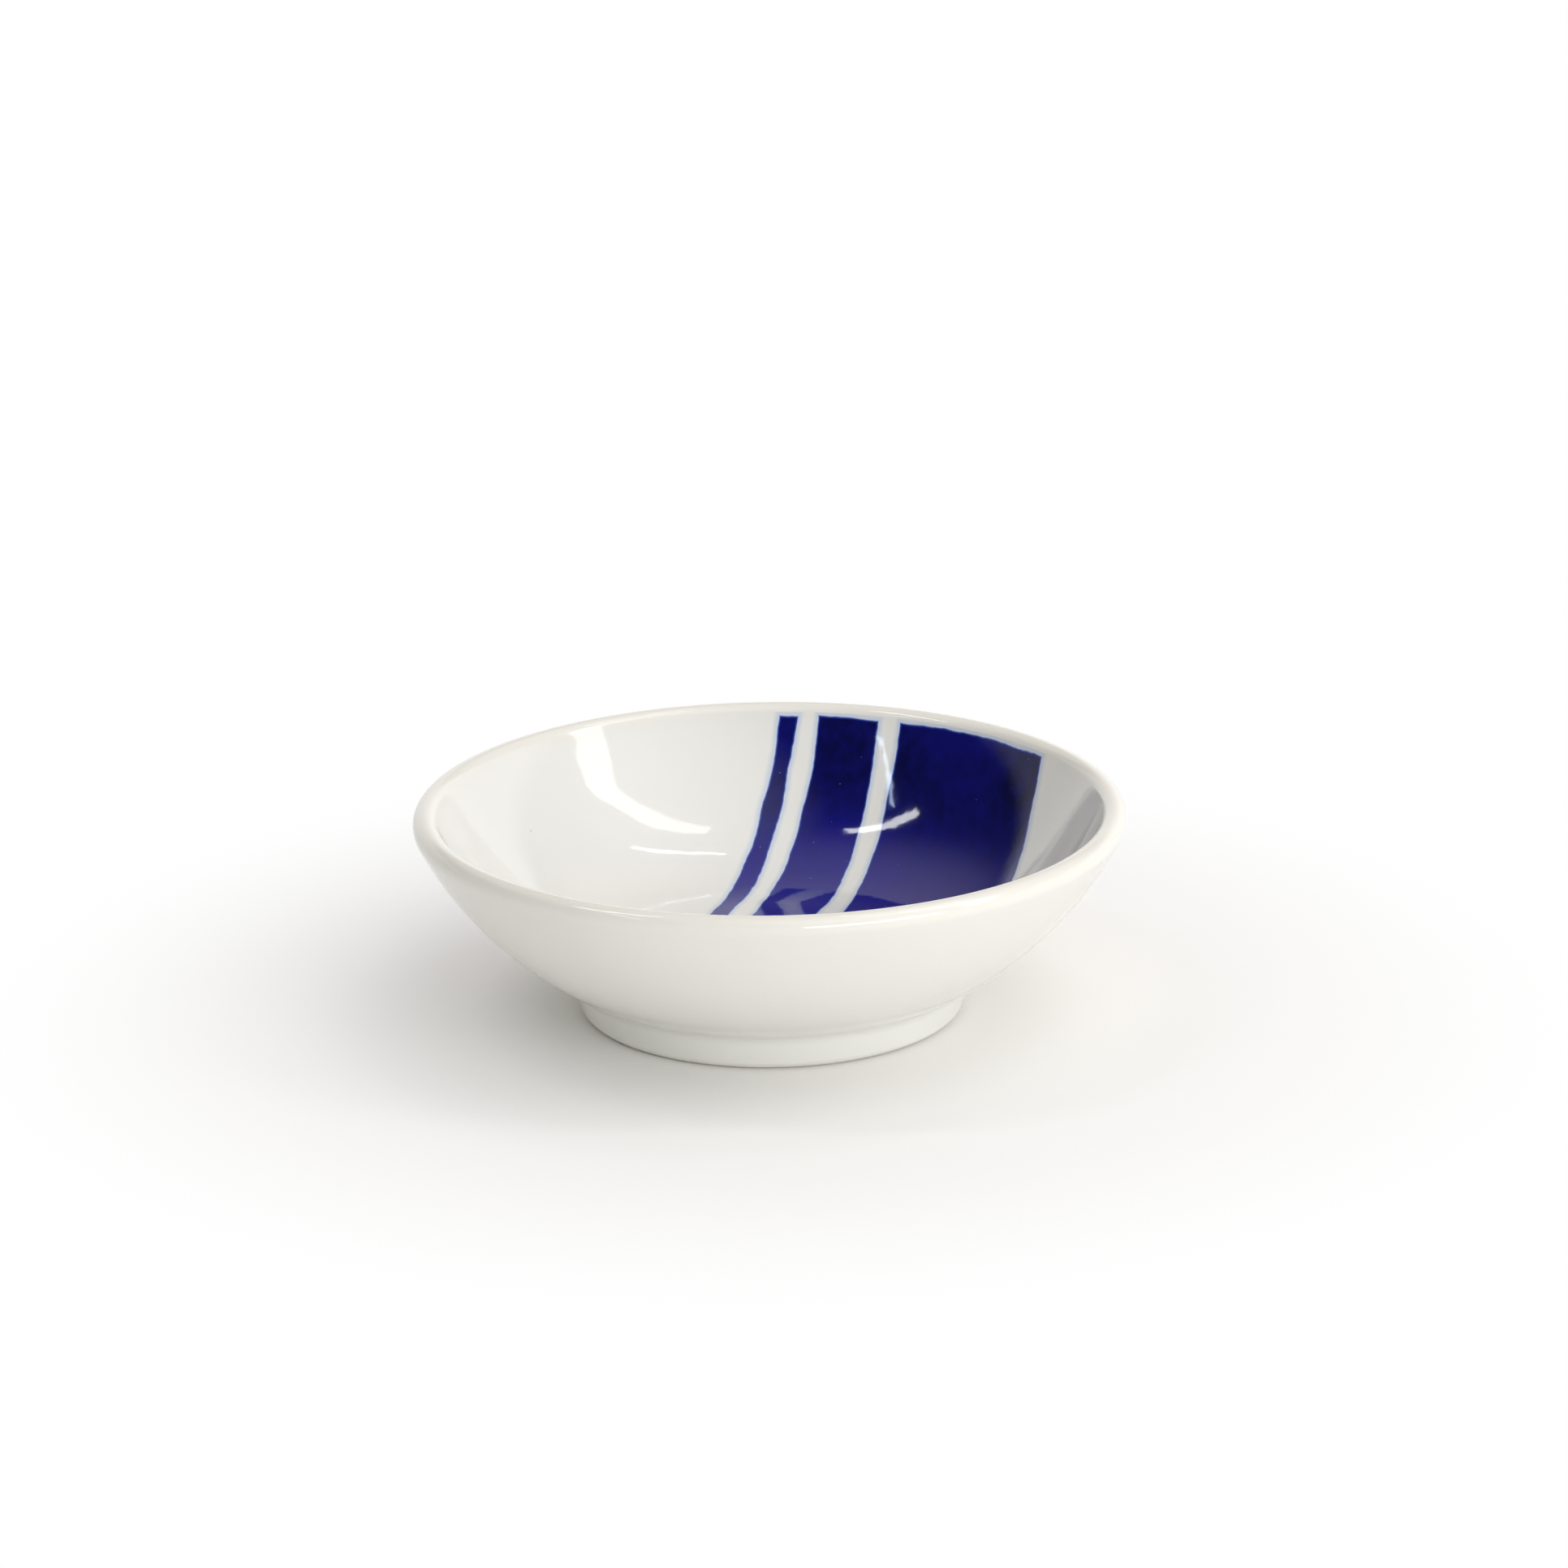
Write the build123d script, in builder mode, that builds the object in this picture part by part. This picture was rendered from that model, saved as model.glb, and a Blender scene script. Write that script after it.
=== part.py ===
"""Round porcelain sauce dish: a bowl on a luted foot ring, with three cobalt bands flush in its well.

Millimetres, +Z up.  The dish stands on z = 0 and is centred on the Z axis.
"""
from build123d import *
import math
import os

# Bowl
rim_diameter = 94.0
dish_height = 28.0
wall_thickness = 3.3
wall_radius = 47.8
floor_thickness = 3.8
knuckle_radius = 24.0

# Foot ring
foot_diameter = 50.5
foot_height = 4.7
foot_width = 4.2
foot_taper = 14.5
foot_outer_round = 1.6
foot_inner_round = 0.9
neck_length = 1.9
cove_radius = 2.6
recess_depth = 4.2
recess_taper = 10.0
recess_round = 1.0

# Cobalt bands, each given by the distance of its left edge from the dish's centre and by its width
band_depth = 0.3
band_top_margin = 1.0
band_direction = -18.0
thin_band_edge = -12.0
thin_band_width = 2.6
middle_band_edge = -6.6
middle_band_width = 8.6
broad_band_edge = 5.0
broad_band_width = 23.0


def foot_side(z):
    """Radius of the foot's outer side at a height."""
    return foot_diameter / 2 + z * math.tan(math.radians(foot_taper))


def recess_side(z):
    """Radius of the recess under the dish at a height."""
    return foot_diameter / 2 - foot_width - z * math.tan(math.radians(recess_taper))


# The lip is a half round as thick as the wall
lip_radius = wall_thickness / 2
lip_center = Vector(rim_diameter / 2 - lip_radius, dish_height - lip_radius)

# The outer wall is one arc, tangent to the lip, that comes down on the neck of the foot
seat_height = foot_height - neck_length
neck = Vector(foot_side(foot_height), foot_height)
fall = neck - lip_center
lip_reach = wall_radius - lip_radius
along_fall = (lip_reach**2 - wall_radius**2 + fall.length**2) / (2 * fall.length)
beside_fall = math.sqrt(lip_reach**2 - along_fall**2)
down = fall.normalized()
wall_center = lip_center + down * along_fall + down.rotate(Axis.Z, -90) * beside_fall
outwards = (lip_center - wall_center).normalized()
lip_angle = math.degrees(math.atan2(outwards.Y, outwards.X))
neck_angle = math.degrees(math.atan2(neck.Y - wall_center.Y, neck.X - wall_center.X))

# The inner wall runs parallel to it
well_radius = wall_radius - wall_thickness

# The knuckle rolls the floor into the wall, tangent to both
floor_height = recess_depth + floor_thickness
knuckle_height = floor_height + knuckle_radius
knuckle_drop = wall_center.Y - knuckle_height
knuckle_reach = math.sqrt((well_radius - knuckle_radius) ** 2 - knuckle_drop**2)
knuckle_center = Vector(wall_center.X + knuckle_reach, knuckle_height)
knuckle_sweep = math.degrees(math.atan2(knuckle_reach, knuckle_drop))
well_sweep = lip_angle + 90 - knuckle_sweep


def well_line(depth):
    """Half outline of the well from its axis to the lip, sunk into the clay by a depth."""
    Line((0, floor_height - depth), (knuckle_center.X, floor_height - depth))
    CenterArc(knuckle_center, knuckle_radius + depth, -90, knuckle_sweep)
    CenterArc(wall_center, well_radius + depth, knuckle_sweep - 90, well_sweep)


def cobalt_band(name, left_edge, width):
    """A straight band of cobalt that follows the well from rim to rim, flush with its surface."""
    with BuildPart() as band:
        with BuildSketch(Plane.XZ):
            with BuildLine():
                well_line(0)
                Line(wall_center + outwards * well_radius, wall_center + outwards * (well_radius + band_depth))
                well_line(band_depth)
                Line((0, floor_height - band_depth), (0, floor_height))
            make_face()
        revolve(axis=Axis.Z)
        with BuildSketch(Plane.XY.rotated((0, 0, band_direction))):
            with Locations((left_edge + width / 2, 0)):
                Rectangle(width, rim_diameter)
        extrude(amount=dish_height - band_top_margin, mode=Mode.INTERSECT)
    band.part.label = name
    return band.part


bands = [
    cobalt_band("thin_band", thin_band_edge, thin_band_width),
    cobalt_band("middle_band", middle_band_edge, middle_band_width),
    cobalt_band("broad_band", broad_band_edge, broad_band_width),
]

# Bowl with its lip, cove and the neck that the foot ring is luted to
with BuildPart() as bowl:
    with BuildSketch(Plane.XZ) as bowl_section:
        with BuildLine():
            well_line(0)
            CenterArc(lip_center, lip_radius, lip_angle, 180)
            CenterArc(wall_center, wall_radius, neck_angle, lip_angle - neck_angle)
            Polyline(
                neck,
                (foot_side(seat_height), seat_height),
                (recess_side(seat_height), seat_height),
                (recess_side(recess_depth), recess_depth),
                (0, recess_depth),
                (0, floor_height),
            )
        make_face()
        corners = bowl_section.vertices()
        fillet(corners.sort_by_distance(neck)[0], cove_radius)
        fillet(corners.sort_by_distance((recess_side(recess_depth), recess_depth))[0], recess_round)
    revolve(axis=Axis.Z)
    add(bands, mode=Mode.SUBTRACT)
bowl.part.label = "bowl"

# Foot ring, seated face to face on the neck, with a rounded standing edge
with BuildPart() as foot_ring:
    with BuildSketch(Plane.XZ) as foot_section:
        with BuildLine():
            Polyline(
                (foot_side(0), 0),
                (foot_side(seat_height), seat_height),
                (recess_side(seat_height), seat_height),
                (recess_side(0), 0),
                close=True,
            )
        make_face()
        edges_below = foot_section.vertices().group_by(Axis.Y)[0].sort_by(Axis.X)
        fillet(edges_below[-1], foot_outer_round)
        fillet(edges_below[0], foot_inner_round)
    revolve(axis=Axis.Z)
foot_ring.part.label = "foot_ring"

os.makedirs("parts", exist_ok=True)
for piece in [bowl.part, foot_ring.part, *bands]:
    export_step(piece, f"parts/{piece.label}.step")
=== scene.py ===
# A small porcelain sauce dish with brushed cobalt bands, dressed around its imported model
import math

import bpy
from mathutils import Matrix, Quaternion, Vector


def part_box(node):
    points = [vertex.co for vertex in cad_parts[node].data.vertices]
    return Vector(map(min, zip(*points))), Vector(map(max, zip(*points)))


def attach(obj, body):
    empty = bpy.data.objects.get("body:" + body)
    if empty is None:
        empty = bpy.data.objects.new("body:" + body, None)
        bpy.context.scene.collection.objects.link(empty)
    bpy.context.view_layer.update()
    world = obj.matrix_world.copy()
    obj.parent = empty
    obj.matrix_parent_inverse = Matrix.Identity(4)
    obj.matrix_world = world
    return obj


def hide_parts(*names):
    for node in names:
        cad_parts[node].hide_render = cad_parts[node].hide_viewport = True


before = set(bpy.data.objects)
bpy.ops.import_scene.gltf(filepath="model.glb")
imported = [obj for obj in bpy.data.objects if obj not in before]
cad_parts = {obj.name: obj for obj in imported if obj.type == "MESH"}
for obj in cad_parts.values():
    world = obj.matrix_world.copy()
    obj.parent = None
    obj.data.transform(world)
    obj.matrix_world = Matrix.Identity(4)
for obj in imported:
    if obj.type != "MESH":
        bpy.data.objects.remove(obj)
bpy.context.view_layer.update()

MM = 0.001

# Sizes of the dish: those that the frame's boxes show are read from them, the rest are the CAD model's
rim_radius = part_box("bowl")[1].x
dish_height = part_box("bowl")[1].z
seat_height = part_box("foot_ring")[1].z
foot_seat_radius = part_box("foot_ring")[1].x
band_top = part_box("broad_band")[1].z
wall_thickness = 3.3 * MM
wall_radius = 47.8 * MM
floor_height = 8.0 * MM
knuckle_radius = 24.0 * MM
foot_height = 4.7 * MM
foot_width = 4.2 * MM
foot_taper = math.radians(14.5)
foot_outer_round = 1.6 * MM
foot_inner_round = 0.9 * MM
cove_radius = 2.6 * MM
recess_depth = 4.2 * MM
recess_taper = math.radians(10.0)
recess_round = 1.0 * MM

# Bands: direction of their cross axis, then each one's left edge and width along that axis
band_direction = math.radians(-18.0)
bands = {
    "thin_band": (-12.0 * MM, 2.6 * MM),
    "middle_band": (-6.6 * MM, 8.6 * MM),
    "broad_band": (5.0 * MM, 23.0 * MM),
}

# A band's sheet lies just over the clay, with a margin at each side for the cobalt to bleed into
band_margin = 1.15 * MM
band_proud = 0.01 * MM
band_thickness = 0.25 * MM
band_end_gap = 0.4 * MM

# Fineness of the spun meshes
turn_steps = 256
arc_tolerance = 0.0015 * MM
merge_distance = 0.001 * MM
crease_angle = math.radians(40)

# The glaze is a glass, melted smooth
glaze_roughness = 0.06
glaze_ior = 1.52


def linear(hex_color):
    """An sRGB hex colour as linear RGBA."""
    channels = [int(hex_color[i : i + 2], 16) / 255 for i in (1, 3, 5)]
    return [c / 12.92 if c <= 0.04045 else ((c + 0.055) / 1.055) ** 2.4 for c in channels] + [1.0]


def add(tree, kind, inputs=(), out=0, **settings):
    """Adds a node with its settings, fills its inputs with values or links, and gives one of its outputs."""
    node = tree.nodes.new(kind)
    for name, value in settings.items():
        setattr(node, name, value)
    for name, value in dict(inputs).items():
        if isinstance(value, bpy.types.NodeSocket):
            tree.links.new(value, node.inputs[name])
        else:
            node.inputs[name].default_value = value
    return node.outputs[out] if node.outputs else None


def angle_of(direction):
    """Angle of a direction in the half section."""
    return math.atan2(direction.y, direction.x)


def arc(center, radius, start, end):
    """Points of an arc in the half section, both ends included, close enough to look round."""
    widest_step = 2 * math.acos(1 - arc_tolerance / radius)
    steps = math.ceil(abs(end - start) / widest_step)
    angles = [start + (end - start) * i / steps for i in range(steps + 1)]
    return [center + radius * Vector((math.cos(a), math.sin(a))) for a in angles]


def rounded(before, corner, after, radius):
    """Points of the arc that rounds a corner between two straight runs."""
    to_before = (before - corner).normalized()
    to_after = (after - corner).normalized()
    half = to_before.angle(to_after) / 2
    center = corner + (to_before + to_after).normalized() * radius / math.sin(half)
    start = angle_of(corner + to_before * radius / math.tan(half) - center)
    end = angle_of(corner + to_after * radius / math.tan(half) - center)
    turn = (end - start + math.pi) % (2 * math.pi) - math.pi
    return arc(center, radius, start, start + turn)


# Half section of the dish, worked out as a potter's template: lip, foot, wall and well
lip_radius = wall_thickness / 2
lip_center = Vector((rim_radius - lip_radius, dish_height - lip_radius))
foot_radius = foot_seat_radius - seat_height * math.tan(foot_taper)


def foot_side(z):
    """Radius of the foot's outer side at a height."""
    return foot_radius + z * math.tan(foot_taper)


def recess_side(z):
    """Radius of the recess under the dish at a height."""
    return foot_radius - foot_width - z * math.tan(recess_taper)


# The outer wall is one arc, tangent to the lip, that comes down on the neck of the foot
neck = Vector((foot_side(foot_height), foot_height))
fall = neck - lip_center
lip_reach = wall_radius - lip_radius
along_fall = (lip_reach**2 - wall_radius**2 + fall.length**2) / (2 * fall.length)
down = fall.normalized()
beside = Vector((down.y, -down.x)) * math.sqrt(lip_reach**2 - along_fall**2)
wall_center = lip_center + down * along_fall + beside
lip_angle = angle_of(lip_center - wall_center)

# The inner wall runs parallel to it, and the knuckle rolls it into the floor
well_radius = wall_radius - wall_thickness
knuckle_drop = wall_center.y - floor_height - knuckle_radius
knuckle_reach = math.sqrt((well_radius - knuckle_radius) ** 2 - knuckle_drop**2)
knuckle_center = Vector((wall_center.x + knuckle_reach, floor_height + knuckle_radius))
knuckle_angle = angle_of(knuckle_center - wall_center)

# Corners where the bowl and its foot ring meet
seat_outer = Vector((foot_side(seat_height), seat_height))
seat_inner = Vector((recess_side(seat_height), seat_height))


def well_section(raised):
    """The well from its axis up to the lip, raised off the clay by a distance."""
    middle = Vector((0, floor_height + raised))
    knuckle = arc(knuckle_center, knuckle_radius - raised, -math.pi / 2, knuckle_angle)
    wall = arc(wall_center, well_radius - raised, knuckle_angle, lip_angle)
    return [middle] + knuckle + wall[1:]


def bowl_section():
    """The bowl's whole half section: well, lip, outer wall, cove, neck, seat and recess."""
    up_side = Vector((math.sin(foot_taper), math.cos(foot_taper)))
    off_side = Vector((math.cos(foot_taper), -math.sin(foot_taper)))
    start = neck + off_side * cove_radius - wall_center
    reach = wall_radius + cove_radius
    slide = -start.dot(up_side) - math.sqrt(start.dot(up_side) ** 2 - start.dot(start) + reach**2)
    cove_center = neck + off_side * cove_radius + up_side * slide
    cove_top = angle_of(cove_center - wall_center)
    recess_corner = Vector((recess_side(recess_depth), recess_depth))
    recess_middle = Vector((0, recess_depth))
    lip = arc(lip_center, lip_radius, lip_angle + math.pi, lip_angle)
    wall = arc(wall_center, wall_radius, lip_angle, cove_top)
    cove = arc(cove_center, cove_radius, cove_top + math.pi, math.pi - foot_taper)
    recess = rounded(seat_inner, recess_corner, recess_middle, recess_round)
    outside = lip[1:] + wall[1:] + cove[1:]
    underside = [seat_outer, seat_inner] + recess + [recess_middle]
    return well_section(0) + outside + underside


def foot_section():
    """The foot ring's half section, a closed outline with a rounded standing edge."""
    edge_outer = Vector((foot_side(0), 0))
    edge_inner = Vector((recess_side(0), 0))
    outer = rounded(seat_outer, edge_outer, edge_inner, foot_outer_round)
    inner = rounded(edge_outer, edge_inner, seat_inner, foot_inner_round)
    return [seat_outer] + outer + inner + [seat_inner, seat_outer]


def spin_piece(name, section):
    """Draws a half section by extruding one vertex along it, and spins it about the dish's axis."""
    points = [Vector((p.x, 0, p.y)) for p in section]
    bpy.ops.object.select_all(action="DESELECT")
    bpy.ops.mesh.primitive_plane_add(size=MM)
    piece = bpy.context.object
    piece.name = name
    bpy.ops.object.mode_set(mode="EDIT")
    bpy.ops.mesh.merge(type="CENTER")
    bpy.ops.transform.translate(value=points[0])
    for here, there in zip(points, points[1:]):
        bpy.ops.mesh.extrude_region_move(TRANSFORM_OT_translate={"value": there - here})
    bpy.ops.mesh.select_all(action="SELECT")
    bpy.ops.mesh.spin(steps=turn_steps, angle=2 * math.pi, center=(0, 0, 0), axis=(0, 0, 1))
    bpy.ops.mesh.select_all(action="SELECT")
    bpy.ops.mesh.remove_doubles(threshold=merge_distance)
    bpy.ops.mesh.normals_make_consistent(inside=False)
    bpy.ops.object.mode_set(mode="OBJECT")
    return piece


def band_piece(name, left_edge, width):
    """Cuts a strip out of the well's own surface and gives it a little thickness below."""
    piece = spin_piece(name, well_section(band_proud))
    across = Vector((math.cos(band_direction), math.sin(band_direction), 0))
    cuts = [
        (across * (left_edge - band_margin), -across),
        (across * (left_edge + width + band_margin), across),
    ]
    bpy.ops.object.mode_set(mode="EDIT")
    for point, outside in cuts:
        bpy.ops.mesh.select_all(action="SELECT")
        bpy.ops.mesh.bisect(plane_co=point, plane_no=outside, clear_outer=True)
    bpy.ops.mesh.select_all(action="SELECT")
    if sum(face.normal.z for face in piece.data.polygons) < 0:
        bpy.ops.mesh.flip_normals()
    bpy.ops.object.mode_set(mode="OBJECT")
    shell = piece.modifiers.new("clay side", "SOLIDIFY")
    shell.thickness = band_thickness
    shell.offset = -1
    bpy.ops.object.modifier_apply(modifier=shell.name)
    return piece


def new_material(name):
    """An empty material, with its node tree and the object's own coordinates."""
    material = bpy.data.materials.new(name)
    material.use_nodes = True
    tree = material.node_tree
    tree.nodes.clear()
    return material, tree, add(tree, "ShaderNodeTexCoord", out="Object")


def per_mm(size):
    """Texture scale whose features are about this many millimetres across."""
    return 1 / (size * MM)


def tinted(tree, color, layers):
    """Lays tints over a colour; each fades in, up to its share, while a value runs from start to end."""
    for value, start, end, share, tint in layers:
        span = {"Value": value, "From Min": start, "From Max": end, "To Max": share}
        fade = add(tree, "ShaderNodeMapRange", span, interpolation_type="SMOOTHSTEP")
        sides = {"Factor": fade, "A": color, "B": linear(tint) if isinstance(tint, str) else tint}
        color = add(tree, "ShaderNodeMix", sides, "Result", data_type="RGBA")
    return color


def porcelain_color(tree, place):
    """Warm white clay under clear glaze, with a few fine iron specks, and a greener grey low down that is
    partly pooled glaze and partly painted shade.
    """
    cloud_size = 22.0
    speck_spacing = 9.0
    speck_radius = 0.17
    speck_edge = speck_radius / speck_spacing
    height = add(tree, "ShaderNodeSeparateXYZ", {"Vector": place}, "Z")
    clouds = add(tree, "ShaderNodeTexNoise", {"Vector": place, "Scale": per_mm(cloud_size)})
    specks = add(tree, "ShaderNodeTexVoronoi", {"Vector": place, "Scale": per_mm(speck_spacing)})
    cloudy = (clouds, 0.0, 1.0, 1.0, "#EDEDE8")
    thin_at_lip = (height, 25.0 * MM, 28.0 * MM, 0.5, "#EDE9DF")
    # Greener, darker grey towards the foot: partly glaze pooled there, partly painted shade in the crease
    pooled_glaze_and_shade_low = (height, 9.5 * MM, 4.5 * MM, 0.3, "#E6E9E4")
    iron = (specks, speck_edge, 0.6 * speck_edge, 0.4, "#7F766A")
    return tinted(tree, linear("#F2F0EB"), [cloudy, thin_at_lip, pooled_glaze_and_shade_low, iron])


def well_ripple(tree, place):
    """Slow ripple and fine orange peel of the fired glaze inside the well; the outside stays smooth."""
    # Height of the waves for each width in millimetres
    swells = {1.8: 0.011 * MM, 0.5: 0.0007 * MM}
    fade_start = well_radius + 1.2 * MM
    fade_end = well_radius + 0.4 * MM
    level = add(tree, "ShaderNodeVectorMath", {0: place, 1: (1, 1, 0)}, operation="MULTIPLY")
    radius = add(tree, "ShaderNodeVectorMath", {0: level}, "Value", operation="LENGTH")
    height = add(tree, "ShaderNodeSeparateXYZ", {"Vector": place}, "Z")
    section = add(tree, "ShaderNodeCombineXYZ", {"X": radius, "Y": height})
    center = (wall_center.x, wall_center.y, 0)
    depth = add(tree, "ShaderNodeVectorMath", {0: section, 1: center}, "Value", operation="DISTANCE")
    relief = 0.0
    for size, swell in swells.items():
        waves = add(tree, "ShaderNodeTexNoise", {"Vector": place, "Scale": per_mm(size), "Detail": 1.0})
        relief = add(tree, "ShaderNodeMath", {0: waves, 1: swell, 2: relief}, operation="MULTIPLY_ADD")
    span = {"Value": depth, "From Min": fade_start, "From Max": fade_end, "To Max": relief}
    inside = add(tree, "ShaderNodeMapRange", span, interpolation_type="SMOOTHSTEP")
    return add(tree, "ShaderNodeBump", {"Height": inside, "Distance": 1.0})


def glaze(tree, color, **more):
    """The glassy coat over a colour, linked to the material's output."""
    coat = {"Base Color": color, "Roughness": glaze_roughness, "IOR": glaze_ior, **more}
    shader = add(tree, "ShaderNodeBsdfPrincipled", coat)
    add(tree, "ShaderNodeOutputMaterial", {"Surface": shader})


def glazed_porcelain():
    """Porcelain dipped in clear glaze: bright and glassy, with crisp reflections that waver a little."""
    material, tree, place = new_material("clear_glazed_porcelain")
    glaze(tree, porcelain_color(tree, place), Normal=well_ripple(tree, place))
    return material


def foot_porcelain():
    """The same glaze on the foot's sides, wiped off the standing edge, which is bare matt clay."""
    material, tree, place = new_material("wiped_foot_porcelain")
    glaze_edge = 0.45 * MM
    bare_edge = 0.30 * MM
    bare_roughness = 0.76
    wobble_size = 5.0
    wobble_height = 0.35 * MM
    height = add(tree, "ShaderNodeSeparateXYZ", {"Vector": place}, "Z")
    wobble = add(tree, "ShaderNodeTexNoise", {"Vector": place, "Scale": per_mm(wobble_size), "Detail": 1.0})
    line = add(tree, "ShaderNodeMath", {0: wobble, 1: wobble_height, 2: height}, operation="MULTIPLY_ADD")
    clay = (line, glaze_edge, bare_edge, 1.0, "#EAE4D8")
    color = tinted(tree, porcelain_color(tree, place), [clay])
    span = {"Value": line, "From Min": glaze_edge, "From Max": bare_edge}
    matt = {"To Min": glaze_roughness, "To Max": bare_roughness}
    roughness = add(tree, "ShaderNodeMapRange", {**span, **matt}, interpolation_type="SMOOTHSTEP")
    glaze(tree, color, Roughness=roughness)
    return material


def brushed_cobalt(name, left_edge, width):
    """Cobalt brushed on before glazing: deep blue, streaked along the stroke, bleeding pale at its edges."""
    material, tree, place = new_material("brushed_cobalt_" + name)
    streak_width = 1.8
    streak_squeeze = 0.07
    patch_size = 14.0
    speck_spacing = 2.4
    speck_radius = 0.11
    speck_edge = speck_radius / speck_spacing
    # How far the edge sways for each length of sway in millimetres
    edge_sways = {9.0: 0.9 * MM, 1.6: 0.24 * MM}
    half_sway = sum(edge_sways.values()) / 2
    turn = {"Location": (-left_edge - width / 2, 0, 0), "Rotation": (0, 0, -band_direction)}
    stroke = add(tree, "ShaderNodeMapping", {"Vector": place, **turn})

    # Distance past the stroke's edge, which wanders as the brush did
    height = add(tree, "ShaderNodeSeparateXYZ", {"Vector": place}, "Z")
    across = add(tree, "ShaderNodeSeparateXYZ", {"Vector": stroke}, "X")
    off_middle = add(tree, "ShaderNodeMath", {0: across}, operation="ABSOLUTE")
    past_side = add(tree, "ShaderNodeMath", {0: off_middle, 1: width / 2 + half_sway}, operation="SUBTRACT")
    stroke_top = band_top - band_end_gap + half_sway
    past_top = add(tree, "ShaderNodeMath", {0: height, 1: stroke_top}, operation="SUBTRACT")
    edge = add(tree, "ShaderNodeMath", {0: past_side, 1: past_top}, operation="MAXIMUM")
    for size, sway in edge_sways.items():
        wobble = add(tree, "ShaderNodeTexNoise", {"Vector": place, "Scale": per_mm(size), "Detail": 1.0})
        edge = add(tree, "ShaderNodeMath", {0: wobble, 1: sway, 2: edge}, operation="MULTIPLY_ADD")

    # Streaks are long in the stroke's direction, and low in the well the blue is lightened by a painted
    # reflection
    drawn_out = add(tree, "ShaderNodeMapping", {"Vector": stroke, "Scale": (1, streak_squeeze, 1)})
    bristles = {"Vector": drawn_out, "Scale": per_mm(streak_width), "Detail": 3.0}
    streaks = add(tree, "ShaderNodeTexNoise", bristles)
    patches = add(tree, "ShaderNodeTexNoise", {"Vector": place, "Scale": per_mm(patch_size), "Detail": 1.0})
    specks = add(tree, "ShaderNodeTexVoronoi", {"Vector": place, "Scale": per_mm(speck_spacing)})
    streaky = (streaks, 0.0, 1.0, 1.0, "#0C0E64")
    patchy = (patches, 0.42, 0.72, 0.4, "#13138A")
    # Paler, more violet blue low in the well is a painted reflection of the white wall
    painted_reflection_low = (height, 20.0 * MM, 9.0 * MM, 0.6, "#221F96")
    pinholes = (specks, speck_edge, 0.6 * speck_edge, 0.5, "#8F8CC0")
    thin_at_edge = (edge, -0.30 * MM, -0.06 * MM, 1.0, "#2C45A6")
    pale_bleed = (edge, -0.10 * MM, 0.10 * MM, 1.0, "#CFD9E7")
    bare_white = (edge, 0.05 * MM, 0.95 * MM, 1.0, porcelain_color(tree, place))
    layers = [streaky, patchy, painted_reflection_low, pinholes, thin_at_edge, pale_bleed, bare_white]
    glaze(tree, tinted(tree, linear("#020432"), layers), Normal=well_ripple(tree, place))
    return material


def dress(piece, material, node):
    """Smooths a finished piece, gives it its finish, and lets it stand for its CAD node."""
    bpy.ops.object.select_all(action="DESELECT")
    piece.select_set(True)
    bpy.context.view_layer.objects.active = piece
    bpy.ops.object.shade_smooth_by_angle(angle=crease_angle)
    piece.data.materials.append(material)
    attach(piece, "root")
    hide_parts(node)


bowl = spin_piece("porcelain_bowl", bowl_section())
dress(bowl, glazed_porcelain(), "bowl")

foot = spin_piece("luted_foot_ring", foot_section())
dress(foot, foot_porcelain(), "foot_ring")

for node, (left_edge, width) in bands.items():
    band = band_piece("cobalt_" + node, left_edge, width)
    dress(band, brushed_cobalt(node, left_edge, width), node)


def white_table():
    """A matt white table top that keeps the dish's shadow near by and is plain white further off."""
    material, tree, place = new_material("matt_white_table")
    shadow_full = 20 * MM
    shadow_gone = 110 * MM
    away = add(tree, "ShaderNodeVectorMath", {0: place}, "Value", operation="LENGTH")
    seen = 0.0
    for ray in ("Is Camera Ray", "Is Glossy Ray", "Is Transmission Ray"):
        this_ray = add(tree, "ShaderNodeLightPath", out=ray)
        seen = add(tree, "ShaderNodeMath", {0: seen, 1: this_ray}, operation="MAXIMUM")
    span = {"Value": away, "From Min": shadow_full, "From Max": shadow_gone, "To Max": seen}
    plain = add(tree, "ShaderNodeMapRange", span, interpolation_type="SMOOTHSTEP")
    matt = add(tree, "ShaderNodeBsdfDiffuse", {"Color": linear("#F6F5F3")})
    white = add(tree, "ShaderNodeEmission", {"Color": linear("#FFFFFF"), "Strength": 1.0})
    top = add(tree, "ShaderNodeMixShader", {"Fac": plain, 1: matt, 2: white})
    add(tree, "ShaderNodeOutputMaterial", {"Surface": top})
    return material


# The table is a hair lower than the standing edge, so that the two faces don't flicker
table_radius = 6.0
table_gap = 0.02 * MM
bpy.ops.object.select_all(action="DESELECT")
bpy.ops.mesh.primitive_circle_add(radius=table_radius, fill_type="NGON", location=(0, 0, -table_gap))
table = bpy.context.object
table.name = "table"
table.data.materials.append(white_table())


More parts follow.
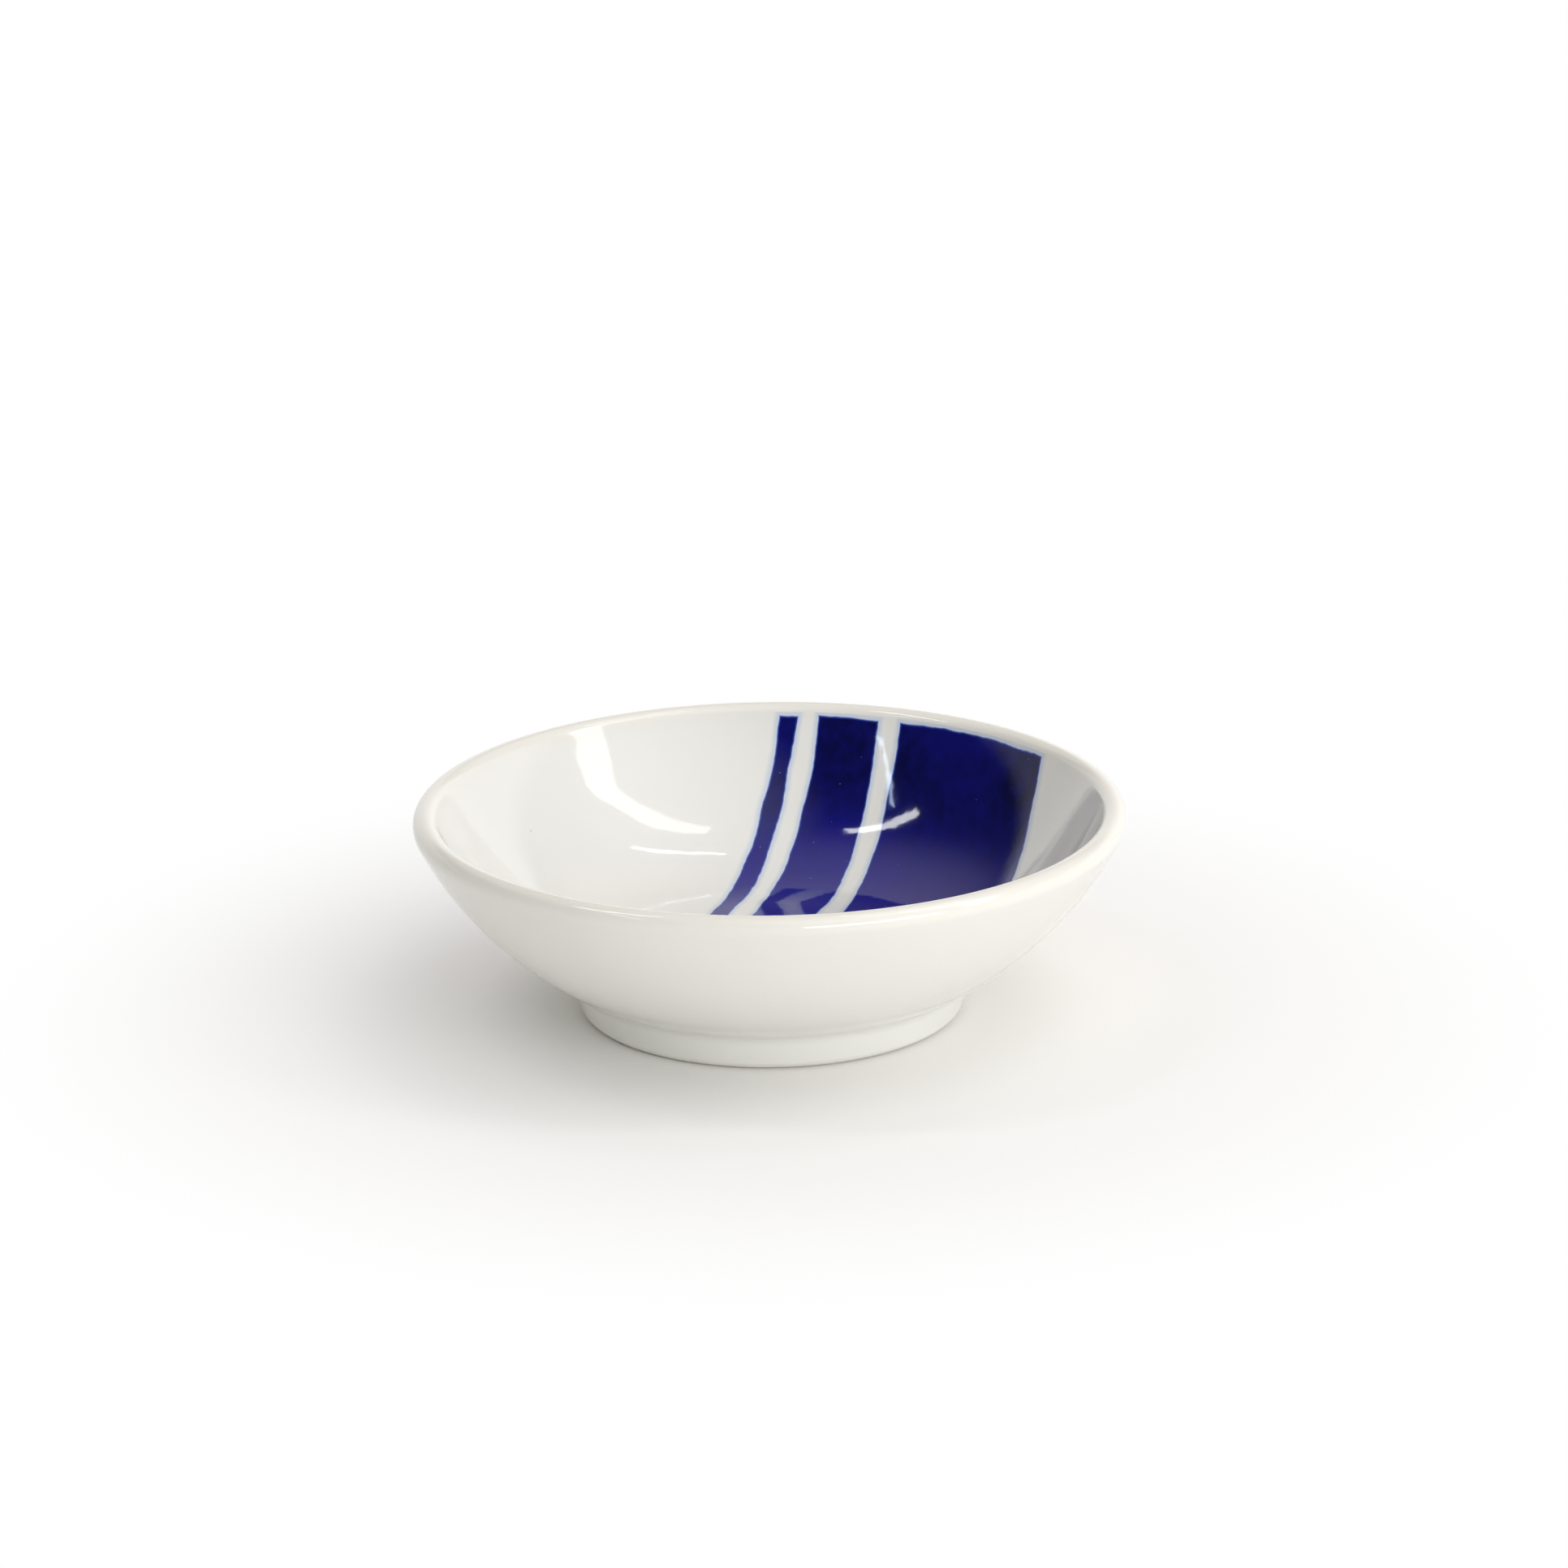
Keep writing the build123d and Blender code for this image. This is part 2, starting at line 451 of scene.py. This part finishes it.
def studio_world():
    """A white surround, bright behind, dim and warm on the left, under a dim room with two soft glows."""
    brightness = 1.25
    back_aim = (0, 0.55, 0.83)
    right_aim = (0.4, -0.25, 0.88)
    world = bpy.data.worlds.new("white_surround")
    bpy.context.scene.world = world
    world.use_nodes = True
    tree = world.node_tree
    tree.nodes.clear()
    direction = add(tree, "ShaderNodeTexCoord", out="Generated")
    right, back, up = [add(tree, "ShaderNodeSeparateXYZ", {"Vector": direction}, axis) for axis in "XYZ"]
    to_back_glow, to_right_glow = [
        add(tree, "ShaderNodeVectorMath", {0: direction, 1: aim}, "Value", operation="DOT_PRODUCT")
        for aim in (back_aim, right_aim)
    ]
    warm_left = (right, -0.15, -0.95, 0.6, "#898770")
    bright_back = (back, 0.40, 0.95, 1.0, "#F9F9F8")
    dim_room = (up, 0.36, 0.46, 1.0, "#383838")
    back_glow = (to_back_glow, 0.68, 1.0, 1.0, "#CBC2BF")
    right_glow = (to_right_glow, 0.75, 1.0, 1.0, "#EAEAE6")
    layers = [warm_left, bright_back, dim_room, back_glow, right_glow]
    surround = tinted(tree, linear("#DBDBDA"), layers)
    light = add(tree, "ShaderNodeBackground", {"Color": surround, "Strength": brightness})
    add(tree, "ShaderNodeOutputWorld", {"Surface": light})


studio_world()


def lamp_panel(name, size, power, color, shape):
    """A flat lamp that shines down until it is turned."""
    light = bpy.data.lights.new(name, "AREA")
    light.shape = shape
    light.size, light.size_y = size
    light.energy = power
    light.color = linear(color)[:3]
    panel = bpy.data.objects.new(name, light)
    bpy.context.scene.collection.objects.link(panel)
    return panel


def softbox(name, azimuth, elevation, turn, distance, size, power, color="#FFFFFF", shape="RECTANGLE"):
    """A lamp that faces the dish, turned on its stand; azimuth counts from +X towards +Y, in degrees."""
    panel = lamp_panel(name, size, power, color, shape)
    around = math.radians(azimuth)
    above = math.radians(elevation)
    level = Vector((math.cos(around), math.sin(around), 0)) * math.cos(above)
    direction = level + Vector((0, 0, math.sin(above)))
    panel.location = direction * distance
    facing = direction.to_track_quat("Z", "Y") @ Quaternion((0, 0, 1), math.radians(turn))
    panel.rotation_euler = facing.to_euler()


def ceiling_strip(name, middle, turn, size, power, color="#FFFFFF"):
    """A narrow lamp that lies flat overhead, turned about the vertical."""
    ceiling_height = 0.8
    panel = lamp_panel(name, size, power, color, "RECTANGLE")
    panel.location = (*middle, ceiling_height)
    panel.rotation_euler.z = math.radians(turn)


# A bent key and a front fill light the dish, and three dim strips overhead draw lines on its glaze
key_color = "#FFFDFA"
key_distance = 0.9
softbox("key_high", azimuth=-7.5, elevation=58.5, turn=4, distance=key_distance,
        size=(0.10, 0.55), power=0.70, color=key_color)
softbox("key_low", azimuth=-13.5, elevation=37, turn=-34, distance=key_distance,
        size=(0.18, 0.45), power=0.84, color=key_color, shape="ELLIPSE")
softbox("front_fill", azimuth=-58, elevation=22, turn=0, distance=1.2,
        size=(0.9, 0.30), power=4.7)
ceiling_strip("left_gap", middle=(-0.585, -0.363), turn=-17.5,
              size=(0.02, 0.56), power=0.45, color="#CFE2FF")
ceiling_strip("left_bar", middle=(-0.43, 0.0), turn=0,
              size=(0.36, 0.05), power=0.70)
ceiling_strip("right_tube", middle=(0.28, 0.21), turn=0,
              size=(0.34, 0.018), power=0.29)


def photo_camera():
    """The photograph's view: a long lens a little above the rim, aimed over the dish."""
    distance = 0.800
    elevation = math.radians(19.0)
    roll = math.radians(-0.72)
    photo_side = 1932
    focal_pixels = 7443
    dish_pixel = Vector((947.8, 1113.6))
    dish_middle = Vector((0, 0, dish_height / 2))
    frame_middle = Vector((photo_side / 2, photo_side / 2))
    off = (frame_middle - dish_pixel) * distance / focal_pixels
    back = Vector((0, -math.cos(elevation), math.sin(elevation)))
    up = Vector((0, math.sin(elevation), math.cos(elevation)))
    eye = dish_middle + back * distance
    aim = dish_middle + Vector((1, 0, 0)) * off.x - up * off.y
    lens = bpy.data.cameras.new("photo_view")
    lens.sensor_width = 36
    lens.lens = lens.sensor_width * focal_pixels / photo_side
    lens.clip_start = 0.01
    camera = bpy.data.objects.new("photo_view", lens)
    bpy.context.scene.collection.objects.link(camera)
    turn = (eye - aim).to_track_quat("Z", "Y").to_matrix().to_4x4()
    camera.matrix_world = Matrix.Translation(eye) @ turn @ Matrix.Rotation(roll, 4, "Z")
    bpy.context.scene.camera = camera


photo_camera()
bpy.context.scene.view_settings.view_transform = "Standard"
